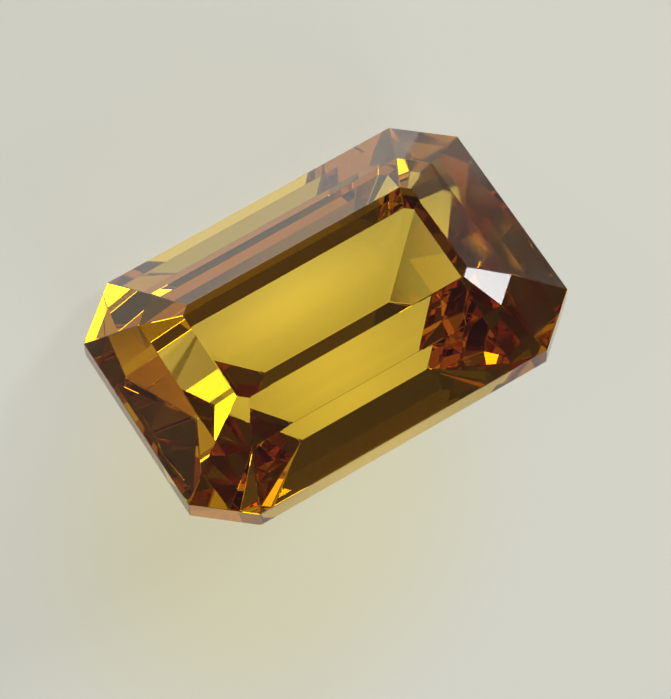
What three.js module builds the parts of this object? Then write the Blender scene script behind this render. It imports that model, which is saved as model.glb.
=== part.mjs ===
// Step-cut zircon gemstone: one loose faceted crystal with cut corners, lying on its lower facets.
//
// The stone is a convex solid, so it is the hull of its facet corners. The corners lie on level
// outlines, one for each height at which the cutter changed the facet angle: the table on top, the
// two crown steps, the girdle band, the pavilion steps, and the keel, the short line at the bottom.
// Each outline is a rectangle with its corners cut off.
//
// A stone with a keel can't stand upright, so it is turned about its length until one of the long
// facets of the middle pavilion step is level, and it rests on that facet.
//
// Units are millimetres and +Z is up. +X runs along the stone's length, and the table leans
// towards -Y. The origin is on the surface that the stone lies on, below the middle of the stone.

import * as THREE from 'three';
import { ConvexGeometry } from 'three/addons/geometries/ConvexGeometry.js';

// Girdle: the widest outline, a thin upright band around the stone
const GIRDLE_LENGTH = 9.0;
const GIRDLE_WIDTH = 6.05;
const GIRDLE_CORNER = 1.1;
const GIRDLE_THICKNESS = 0.55;

// Crown: two steps above the girdle, and the flat table that ends them
const CROWN_STEP = { length: 6.97, width: 3.97, corner: 0.56, height: 0.77 };
const TABLE = { length: 5.39, width: 2.4, corner: 0.18, height: 1.17 };

// Pavilion: three steps below the girdle, each less steep than the one above it. It was cut by hand,
// and the lowest step and the keel are a little off the middle: the shifts are along the length and
// across it.
const UPPER_BREAK = { length: 7.73, width: 4.7, corner: 0.74, depth: 1.67 };
const LOWER_BREAK = { length: 6.03, width: 3.07, corner: 0.17, depth: 2.75, shiftY: -0.02 };
const KEEL = { length: 3.04, depth: 3.81, shiftX: -0.04, shiftY: -0.09 };

// A corner is cut off by this much of the side's length for each unit of the end's
const CORNER_SLANT = 0.85;

const ZIRCON = new THREE.MeshStandardMaterial({ color: 0xc9a02e, roughness: 0.05, metalness: 0 });

// The eight corners of a rectangle with cut corners, at height z
function outline({ length, width, corner, shiftY = 0 }, z) {
  const x = length / 2;
  const y = width / 2;
  const cutX = corner;
  const cutY = corner * CORNER_SLANT;
  const quarter = [[x - cutX, y], [x, y - cutY]];
  return quarter.flatMap(([px, py]) => [
    new THREE.Vector3(px, py + shiftY, z),
    new THREE.Vector3(-px, py + shiftY, z),
    new THREE.Vector3(-px, -py + shiftY, z),
    new THREE.Vector3(px, -py + shiftY, z),
  ]);
}

// Every facet corner of the stone with its table level, measured from the girdle's upper edge
function facetCorners() {
  const girdle = { length: GIRDLE_LENGTH, width: GIRDLE_WIDTH, corner: GIRDLE_CORNER };
  return [
    ...outline(TABLE, TABLE.height),
    ...outline(CROWN_STEP, CROWN_STEP.height),
    ...outline(girdle, 0),
    ...outline(girdle, -GIRDLE_THICKNESS),
    ...outline(UPPER_BREAK, -UPPER_BREAK.depth),
    ...outline(LOWER_BREAK, -LOWER_BREAK.depth),
    new THREE.Vector3(KEEL.shiftX + KEEL.length / 2, KEEL.shiftY, -KEEL.depth),
    new THREE.Vector3(KEEL.shiftX - KEEL.length / 2, KEEL.shiftY, -KEEL.depth),
  ];
}

// The angle between the table and the long facet on the -Y side of the middle pavilion step
function restingTilt() {
  const rise = LOWER_BREAK.depth - UPPER_BREAK.depth;
  const run = (UPPER_BREAK.width - LOWER_BREAK.width) / 2 + LOWER_BREAK.shiftY;
  return Math.atan2(rise, run);
}

// The stone turned onto the facet on its -Y side, and moved so that it lies over the origin
function lyingStone() {
  const geometry = new ConvexGeometry(facetCorners());
  geometry.rotateX(restingTilt());
  geometry.computeBoundingBox();
  const { min, max } = geometry.boundingBox;
  geometry.translate(-(min.x + max.x) / 2, -(min.y + max.y) / 2, -min.z);
  const stone = new THREE.Mesh(geometry, ZIRCON);
  stone.name = 'zircon';
  return stone;
}

const part = new THREE.Group();
part.add(lyingStone());

export default part;
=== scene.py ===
# %% [markdown]
# # A step-cut zircon
#
# A clear honey-yellow gemstone, cut in long steps with cut corners, lies on a pale floor. Its flat
# facets are easy to model. What makes it look like a gemstone is light: each facet mirrors a patch of
# the room, and through each facet others are seen, again and again, in deeper and deeper colours. So
# most of this lesson is about the body of the stone, the floor that shows through it, and the lamps.
#
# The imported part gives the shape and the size. Lengths are metres, so `MM` turns the millimetres of a
# stone this small into them.

# %% Load the part
import math
import bmesh
import bpy
from mathutils import Matrix, Vector


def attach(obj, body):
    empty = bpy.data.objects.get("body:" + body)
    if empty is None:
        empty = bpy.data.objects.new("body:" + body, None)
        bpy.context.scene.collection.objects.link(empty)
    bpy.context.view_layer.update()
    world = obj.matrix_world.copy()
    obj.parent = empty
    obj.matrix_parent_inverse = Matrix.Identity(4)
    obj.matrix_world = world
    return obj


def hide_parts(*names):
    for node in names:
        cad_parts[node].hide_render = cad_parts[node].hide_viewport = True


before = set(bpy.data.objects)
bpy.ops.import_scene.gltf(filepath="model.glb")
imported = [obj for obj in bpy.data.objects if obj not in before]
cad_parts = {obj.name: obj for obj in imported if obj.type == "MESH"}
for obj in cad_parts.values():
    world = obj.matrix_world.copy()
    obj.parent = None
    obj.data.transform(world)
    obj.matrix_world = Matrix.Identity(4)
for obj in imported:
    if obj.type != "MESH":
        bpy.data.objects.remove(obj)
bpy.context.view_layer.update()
MM = 0.001


# %% [markdown]
# ## Shader sums as plain expressions
#
# A material is a graph of nodes, and even `1 - mask * 0.4` takes two Math nodes and their links. They
# could be placed one by one, but then the sum gets lost among the links. Instead, a small class wraps
# an output socket and takes part in sums, so the expression adds its nodes by itself. Every other
# node comes from `Nodes.add`, which takes the node's type, its settings, and the values or links of
# its sockets. A socket goes by its name, or by its number where a node has several of one name.

# %% Helpers for node graphs
class Socket:
    """One output of a node, which can be used in sums."""

    def __init__(self, nodes, output):
        self.nodes = nodes
        self.output = output

    def maths(self, operation, first, second):
        return self.nodes.add("ShaderNodeMath", {"operation": operation}, {0: first, 1: second})

    def __add__(self, other):
        return self.maths("ADD", self, other)

    __radd__ = __add__

    def __mul__(self, other):
        return self.maths("MULTIPLY", self, other)

    __rmul__ = __mul__

    def __sub__(self, other):
        return self.maths("SUBTRACT", self, other)

    def __rsub__(self, other):
        return self.maths("SUBTRACT", other, self)


class Nodes:
    """The node graph of one material or of the world."""

    def __init__(self, owner):
        owner.use_nodes = True
        self.tree = owner.node_tree
        self.tree.nodes.clear()

    def add(self, kind, settings=None, inputs=None, output=0):
        node = self.tree.nodes.new(kind)
        for name, value in (settings or {}).items():
            setattr(node, name, value)
        for name, value in (inputs or {}).items():
            if isinstance(value, Socket):
                self.tree.links.new(value.output, node.inputs[name])
            else:
                node.inputs[name].default_value = value
        if node.outputs:
            return Socket(self, node.outputs[output])
        return None


def smooth_mask(nodes, value, places, amounts):
    """A mask that turns smoothly from the first amount to the second between two places."""
    return nodes.add(
        "ShaderNodeMapRange",
        {"interpolation_type": "SMOOTHSTEP"},
        {
            "Value": value,
            "From Min": places[0],
            "From Max": places[1],
            "To Min": amounts[0],
            "To Max": amounts[1],
        },
    )


# %% [markdown]
# ## Whole facets
#
# A cutter grinds each facet as one flat face, here with three, four or eight corners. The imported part
# has the same planes, but in triangles. They would mirror the room just as well, but the next step
# would round the lines between them as if they were real edges. So the triangles of each plane are
# joined into one face, on a copy of the mesh.

# %% Facets from triangles
WELD = 0.001 * MM
SAME_PLANE = math.radians(0.5)


def whole_facets(solid):
    """A copy of the solid's mesh with one face for each facet."""
    mesh = bmesh.new()
    mesh.from_mesh(solid.data)
    bmesh.ops.remove_doubles(mesh, verts=mesh.verts, dist=WELD)
    bmesh.ops.dissolve_limit(mesh, angle_limit=SAME_PLANE, verts=mesh.verts, edges=mesh.edges)
    return mesh


facets = whole_facets(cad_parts["zircon"])
print("facets:", len(facets.faces))

# %% [markdown]
# ## Edges as a cutter leaves them
#
# The line between two facets is never perfectly sharp. It is rounded by about a hundredth of a
# millimetre, and this narrow round catches a thread of light. A subdivision surface would round it
# too, but it would also bend the flat facets and spoil what they mirror. A bevel changes only the
# edges, and flat shading keeps the facets crisp.

# %% Stone with softened edges
EDGE = 0.012 * MM
EDGE_STEPS = 2
ROUND_PROFILE = 0.5


def soften_edges(mesh):
    """Round every edge of the mesh by a hair."""
    bmesh.ops.bevel(
        mesh,
        geom=list(mesh.edges),
        offset=EDGE,
        segments=EDGE_STEPS,
        profile=ROUND_PROFILE,
        affect="EDGES",
        clamp_overlap=True,
    )


def stone_from(mesh):
    """The object that shows the finished mesh."""
    data = bpy.data.meshes.new("step_cut_stone")
    mesh.to_mesh(data)
    mesh.free()
    data.shade_flat()
    made = bpy.data.objects.new("step_cut_stone", data)
    bpy.context.collection.objects.link(made)
    return made


soften_edges(facets)
stone = stone_from(facets)
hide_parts("zircon")
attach(stone, "root")
print("stone faces:", len(stone.data.polygons))

# %% [markdown]
# ## Polish and wear
#
# Polished zircon is as smooth as a window. Only the facets above the girdle at one end are duller, as
# if they had been rubbed, and what shows in them and through them is soft. The dull place could be
# painted as a picture, but it is easily said in words: above the girdle and towards the -X end. So
# one mask follows the direction in which the table faces, another runs along the stone, and their
# product says where the roughness is raised. A noise makes it a little uneven. The table is the
# largest face, so it is found by its area.

# %% Roughness of the stone
CROWN_HEIGHT = 1.17 * MM
CROWN_FADE = 0.2 * MM
RUBBED_FROM = -2.7 * MM
RUBBED_FULLY = -3.5 * MM
SMEAR_SCALE = 900.0
SMEAR_DETAIL = 4.0
POLISHED_ROUGHNESS = 0.004
RUBBED_ROUGHNESS = 0.14
EVEN_SHARE = 0.5


def stone_roughness(nodes):
    """Nearly none where the stone is polished, more on the crown towards its rubbed end."""
    place = nodes.add("ShaderNodeTexCoord", output="Object")
    smear = nodes.add(
        "ShaderNodeTexNoise",
        None,
        {"Vector": place, "Scale": SMEAR_SCALE, "Detail": SMEAR_DETAIL},
    )
    table = max(stone.data.polygons, key=lambda face: face.area)
    height = nodes.add(
        "ShaderNodeVectorMath",
        {"operation": "DOT_PRODUCT"},
        {0: place, 1: table.normal},
        output="Value",
    )
    girdle = table.center.dot(table.normal) - CROWN_HEIGHT
    crown = smooth_mask(nodes, height, (girdle, girdle + CROWN_FADE), (0.0, 1.0))
    along = nodes.add("ShaderNodeSeparateXYZ", None, {"Vector": place}, output="X")
    end = smooth_mask(nodes, along, (RUBBED_FULLY, RUBBED_FROM), (1.0, 0.0))
    print("table, mm2:", round(table.area / MM**2, 2), "facing", [round(c, 2) for c in table.normal])
    return smear * POLISHED_ROUGHNESS + crown * end * (EVEN_SHARE + smear) * RUBBED_ROUGHNESS


# %% [markdown]
# ## Colour in the body
#
# The colour of a zircon isn't on its surface. Light loses its blue first, and then its green, on the
# way through, so a short way looks straw yellow, a longer one honey or olive, and a long one brown. A
# tinted surface would give every way the same colour. So the surface is left clear, and a volume
# takes a share of each colour for every millimetre. The volume's node absorbs its density times what
# its colour lacks. So the largest share becomes the density, and the colour says how much less the
# other two are.

# %% Absorption of the body
ABSORBED = (0.040, 0.108, 0.55)
SAMPLE_WAY = 5


def absorbing_body(nodes):
    """A volume that takes the shares in ABSORBED for each millimetre of the way."""
    strongest = max(ABSORBED)
    spared = [1.0 - share / strongest for share in ABSORBED]
    return nodes.add(
        "ShaderNodeVolumeAbsorption",
        None,
        {"Color": (*spared, 1.0), "Density": strongest / MM},
    )


left = [round(math.exp(-share * SAMPLE_WAY), 2) for share in ABSORBED]
print("red, green and blue left after", SAMPLE_WAY, "mm:", left)

# %% [markdown]
# ## Clear zircon
#
# Zircon bends light far more than window glass does. Light that meets a facet from inside is thrown
# back whole when it comes in more than 31 degrees off the facet's normal, while in window glass it
# takes more than 41. With the refraction of glass, the bright floor would show through more of the
# table. A glass shader would do, but the Principled shader has the clear surface, its refraction and
# its roughness in one place, and other programs know it.

# %% Zircon material
REFRACTION = 1.945
CLEAR = (1.0, 1.0, 1.0, 1.0)


def zircon_material():
    """Clear and strongly refracting, with a body that absorbs blue first."""
    material = bpy.data.materials.new("clear_zircon")
    nodes = Nodes(material)
    surface = nodes.add(
        "ShaderNodeBsdfPrincipled",
        None,
        {
            "Base Color": CLEAR,
            "Roughness": stone_roughness(nodes),
            "IOR": REFRACTION,
            "Transmission Weight": 1.0,
        },
    )
    body = absorbing_body(nodes)
    nodes.add("ShaderNodeOutputMaterial", None, {"Surface": surface, "Volume": body})
    return material


stone.data.materials.clear()
stone.data.materials.append(zircon_material())
critical = math.degrees(math.asin(1 / REFRACTION))
print("light stays inside beyond", round(critical, 1), "degrees from a facet's normal")

# %% [markdown]
# ## Round spots on the floor
#
# A clear stone shows the floor through its facets, so the floor's light is a large part of its look.
# The stone also gathers light and casts it, turned yellow, on the floor beside and below itself.
# Cycles finds that light only by chance, where a path through the stone happens to meet a lamp. With
# the lamps alone, the floor comes out grey and the middle of the stone less than half as bright. So
# the floor gives off the missing light itself. The places where it does are round spots with soft
# rims.

# %% Helper for spots
def floor_spot(nodes, place, centre, radii):
    """A round mask, 1 up to the first radius from the centre and 0 past the second."""
    away = nodes.add(
        "ShaderNodeVectorMath",
        {"operation": "DISTANCE"},
        {0: place, 1: centre},
        output="Value",
    )
    return smooth_mask(nodes, away, radii, (1.0, 0.0))


# %% [markdown]
# ## The floor's glow
#
# Four spots make the glow. A wide one lights the floor round the stone evenly. A small one below the
# stone is brighter, and a third turns the glow honey yellow where the stone casts its light. The
# fourth takes the glow away at one place beside the stone. The facets at one end mirror that place,
# and they look a little deeper with something dark to mirror.

# %% Glow of the floor
NEAR_CENTRE = Vector((-1.0, 3.0, 0.0)) * MM
NEAR_RADII = (11 * MM, 27 * MM)
DARK_CENTRE = Vector((-15.0, -6.5, 0.0)) * MM
DARK_RADII = (4 * MM, 7 * MM)
BELOW_CENTRE = Vector((0.0, 2.0, 0.0)) * MM
BELOW_RADII = (0.0, 3 * MM)
HONEY_CENTRE = Vector((2.0, 5.0, 0.0)) * MM
HONEY_RADII = (2 * MM, 7 * MM)
GLOW_COLOUR = (1.0, 1.0, 0.88, 1.0)
HONEY_COLOUR = (1.0, 0.95, 0.62, 1.0)
GLOW = 0.47
GLOW_BELOW = 0.35
# The colour sockets of a Mix node, which has others of the same names
MIX_FIRST = 6
MIX_SECOND = 7
MIX_RESULT = 2


def floor_glow(nodes, place):
    """The colour that the floor gives off at each place."""
    near = floor_spot(nodes, place, NEAR_CENTRE, NEAR_RADII)
    dark = floor_spot(nodes, place, DARK_CENTRE, DARK_RADII)
    below = floor_spot(nodes, place, BELOW_CENTRE, BELOW_RADII)
    honey = floor_spot(nodes, place, HONEY_CENTRE, HONEY_RADII)
    tint = nodes.add(
        "ShaderNodeMix",
        {"data_type": "RGBA"},
        {"Factor": honey, MIX_FIRST: GLOW_COLOUR, MIX_SECOND: HONEY_COLOUR},
        output=MIX_RESULT,
    )
    return nodes.add(
        "ShaderNodeVectorMath",
        {"operation": "SCALE"},
        {0: tint, "Scale": near * (1 - dark) * GLOW + below * GLOW_BELOW},
    )


# %% [markdown]
# ## The floor
#
# The floor is smooth and pale with a slight sheen. A curved studio backdrop isn't needed, because the
# camera looks down and sees no horizon. A plane is enough, and it is so wide that its edge is too far
# off to show in a facet. It lies a hair below the stone, because two faces in one plane would flicker.

# %% Floor
FLOOR_SIZE = 2.0
FLOOR_GAP = 0.02 * MM
FLOOR_COLOUR = (0.80, 0.80, 0.73, 1.0)
FLOOR_ROUGHNESS = 0.45
FLOOR_SHEEN = 0.3
GRAIN_SCALE = 60.0
GRAIN_DETAIL = 3.0
GRAIN_ROUGHNESS = 0.1


def floor_material():
    """A smooth pale surface that glows softly round the stone."""
    material = bpy.data.materials.new("pale_floor")
    nodes = Nodes(material)
    place = nodes.add("ShaderNodeTexCoord", output="Object")
    grain = nodes.add(
        "ShaderNodeTexNoise",
        None,
        {"Vector": place, "Scale": GRAIN_SCALE, "Detail": GRAIN_DETAIL},
    )
    surface = nodes.add(
        "ShaderNodeBsdfPrincipled",
        None,
        {
            "Base Color": FLOOR_COLOUR,
            "Roughness": FLOOR_ROUGHNESS + grain * GRAIN_ROUGHNESS,
            "Specular IOR Level": FLOOR_SHEEN,
            "Emission Color": floor_glow(nodes, place),
            "Emission Strength": 1.0,
        },
    )
    nodes.add("ShaderNodeOutputMaterial", None, {"Surface": surface})
    return material


bpy.ops.mesh.primitive_plane_add(size=FLOOR_SIZE, location=(0.0, 0.0, -FLOOR_GAP))
floor = bpy.context.object
floor.name = "pale_floor"
floor.data.materials.append(floor_material())
print("floor, m:", FLOOR_SIZE, "wide, glowing up to", round(NEAR_RADII[1] / MM), "mm out")

# %% [markdown]
# ## Lamps for flat mirrors
#
# Each facet mirrors one small patch of the room, so it is pale or dark as a whole, depending on
# whether a lamp stands in that patch. A picture of a studio could be wrapped round the scene, but
# then no lamp could be moved alone. So each lamp is a round area light that is placed by its azimuth
# and its elevation, and sized by how wide it looks from the stone. Radiance says how bright its face
# is, so a lamp can be made wider without looking brighter. The lamps are hidden from the camera.

# %% Helpers for lamps
LIGHT_DISTANCE = 300 * MM


def direction(azimuth, elevation):
    """Unit vector from the stone towards a place in the room. Azimuth 0 is -Y and 90 is +X."""
    turn = math.radians(azimuth)
    rise = math.radians(elevation)
    level = math.cos(rise)
    return Vector((math.sin(turn) * level, -math.cos(turn) * level, math.sin(rise)))


def add_lamp(light, area, radiance):
    """An object for an area light, as bright for each bit of its area as radiance says."""
    light.energy = radiance * math.pi * area
    lamp = bpy.data.objects.new(light.name, light)
    lamp.visible_camera = False
    bpy.context.collection.objects.link(lamp)
    return lamp


def soft_box(name, azimuth, elevation, width, radiance):
    """A round light that looks as wide as width, in degrees, from the stone."""
    light = bpy.data.lights.new(name, "AREA")
    light.shape = "DISK"
    light.size = 2 * LIGHT_DISTANCE * math.tan(math.radians(width / 2))
    lamp = add_lamp(light, math.pi * (light.size / 2) ** 2, radiance)
    towards = direction(azimuth, elevation)
    lamp.location = towards * LIGHT_DISTANCE
    lamp.rotation_mode = "QUATERNION"
    lamp.rotation_quaternion = towards.to_track_quat("Z", "Y")


# %% [markdown]
# ## Bright lamps and broad lamps
#
# The stone's sparks are small lamps seen by way of its facets: white where a facet mirrors the lamp
# from outside, and yellow where the light has been through the body. None of the lamps stands where
# the table would mirror it to the camera, so the table stays clear and shows the inside. The broad
# lamps are dim. Three stand low behind the stone and beside it, and one stands high. They brighten
# the long facets on the side to which the table leans, and the far left end of the picture's stone.

# %% Lamps round the stone
soft_box("key", azimuth=300, elevation=33, width=14, radiance=6.8)
soft_box("low_box", azimuth=322, elevation=14, width=9, radiance=9.0)
soft_box("spark", azimuth=189, elevation=11, width=4, radiance=25.0)
soft_box("top_spark", azimuth=45, elevation=39, width=7, radiance=4.0)
soft_box("side_spark", azimuth=243, elevation=12, width=8, radiance=3.0)

soft_box("top_box", azimuth=213, elevation=65, width=18, radiance=0.5)
soft_box("low_back_box", azimuth=220, elevation=5, width=16, radiance=0.5)
soft_box("back_box", azimuth=195, elevation=22, width=45, radiance=0.75)
soft_box("side_box", azimuth=300, elevation=18, width=34, radiance=0.6)

# %% [markdown]
# ## A card on the floor
#
# The long facets beside the table, on the side to which it leans, stand almost upright. Seen from
# above, they mirror the strip of floor next to the stone. A photographer would lay a white card there
# to brighten them. A brighter floor would do the same, but it would show in the picture. So the card
# is a light that lies on the floor, faces up and is hidden from the camera.

# %% Bounce card
CARD_PLACE = Vector((-0.5, -4.2, 0.05)) * MM
CARD_LENGTH = 8 * MM
CARD_WIDTH = 3.4 * MM
CARD_RADIANCE = 0.55

card = bpy.data.lights.new("bounce_card", "AREA")
card.shape = "RECTANGLE"
card.size = CARD_LENGTH
card.size_y = CARD_WIDTH
card_lamp = add_lamp(card, CARD_LENGTH * CARD_WIDTH, CARD_RADIANCE)
card_lamp.location = CARD_PLACE
card_lamp.rotation_euler = (math.pi, 0.0, 0.0)
lamps = [thing for thing in bpy.context.scene.objects if thing.type == "LIGHT"]
print("lamps:", len(lamps))

# %% [markdown]
# ## The room
#
# Whatever isn't a lamp is the room. A grey room would lie over every facet like a veil, because each
# facet mirrors some of it. So the room is warm and nearly dark, and the depth of the stone stays.

# %% Room
ROOM_COLOUR = (1.0, 0.97, 0.92, 1.0)
ROOM_STRENGTH = 0.06

world = bpy.data.worlds.new("studio")
bpy.context.scene.world = world
sky = Nodes(world)
room = sky.add("ShaderNodeBackground", None, {"Color": ROOM_COLOUR, "Strength": ROOM_STRENGTH})
sky.add("ShaderNodeOutputWorld", None, {"Surface": room})
print("room strength:", ROOM_STRENGTH)

# %% [markdown]
# ## Camera
#
# A stone with a keel can't stand upright. It lies on one of its lower facets, and its table leans
# over. A gemstone is looked at through its table, so the camera stands on the side to which the table
# leans and looks down steeply, about 25 degrees off the table's own direction. Then the camera is
# turned about its line of sight, which sets the stone aslant in the picture. A long lens keeps the
# stone's long sides nearly parallel.

# %% Camera
AIM = Vector((0.164, -0.057, 3.209)) * MM
CAMERA_DISTANCE = 71.16 * MM
CAMERA_AZIMUTH = 22.63
CAMERA_ELEVATION = 56.4
CAMERA_ROLL = 131.41
FOCAL_LENGTH = 180.0
NEAREST = 1 * MM

lens = bpy.data.cameras.new("camera")
lens.lens = FOCAL_LENGTH
lens.clip_start = NEAREST
camera = bpy.data.objects.new("camera", lens)
back = direction(CAMERA_AZIMUTH, CAMERA_ELEVATION)
upright = back.to_track_quat("Z", "Y").to_matrix()
turned = upright @ Matrix.Rotation(math.radians(CAMERA_ROLL), 3, "Z")
camera.matrix_world = Matrix.Translation(AIM + back * CAMERA_DISTANCE) @ turned.to_4x4()
bpy.context.collection.objects.link(camera)
bpy.context.scene.camera = camera
seen = 2 * CAMERA_DISTANCE * math.tan(lens.angle / 2)
print("picture at the stone, mm:", round(seen / MM, 1), "along its longer side")

# %% [markdown]
# ## Following light through many facets
#
# Light that has entered the stone meets facet after facet before one lets it out. A path that is
# given up early counts as black. With a dozen steps about one pixel in 500 comes out clearly darker,
# and the rest hardly changes. Time isn't short here, so paths are followed twice as far.
#
# The denoiser usually gets the colour and direction of the first surface as well. On a clear stone
# they say nothing about the pattern inside, and they leave a stipple on some facets. So it gets only
# the picture.
#
# The plain view transform cuts each colour off by itself where it gets too bright. Strong light that
# has lost its blue turns a pure yellow that way. Of the softer transforms, AgX turns that yellow a
# pale tan and Filmic dulls it, and both make the floor greyer.

# %% Light paths and picture
PATH_STEPS = 24

cycles = bpy.context.scene.cycles
cycles.max_bounces = PATH_STEPS
cycles.transmission_bounces = PATH_STEPS
cycles.glossy_bounces = PATH_STEPS
cycles.denoising_input_passes = "RGB"
bpy.context.scene.view_settings.view_transform = "Standard"
print("steps of a light path:", PATH_STEPS)
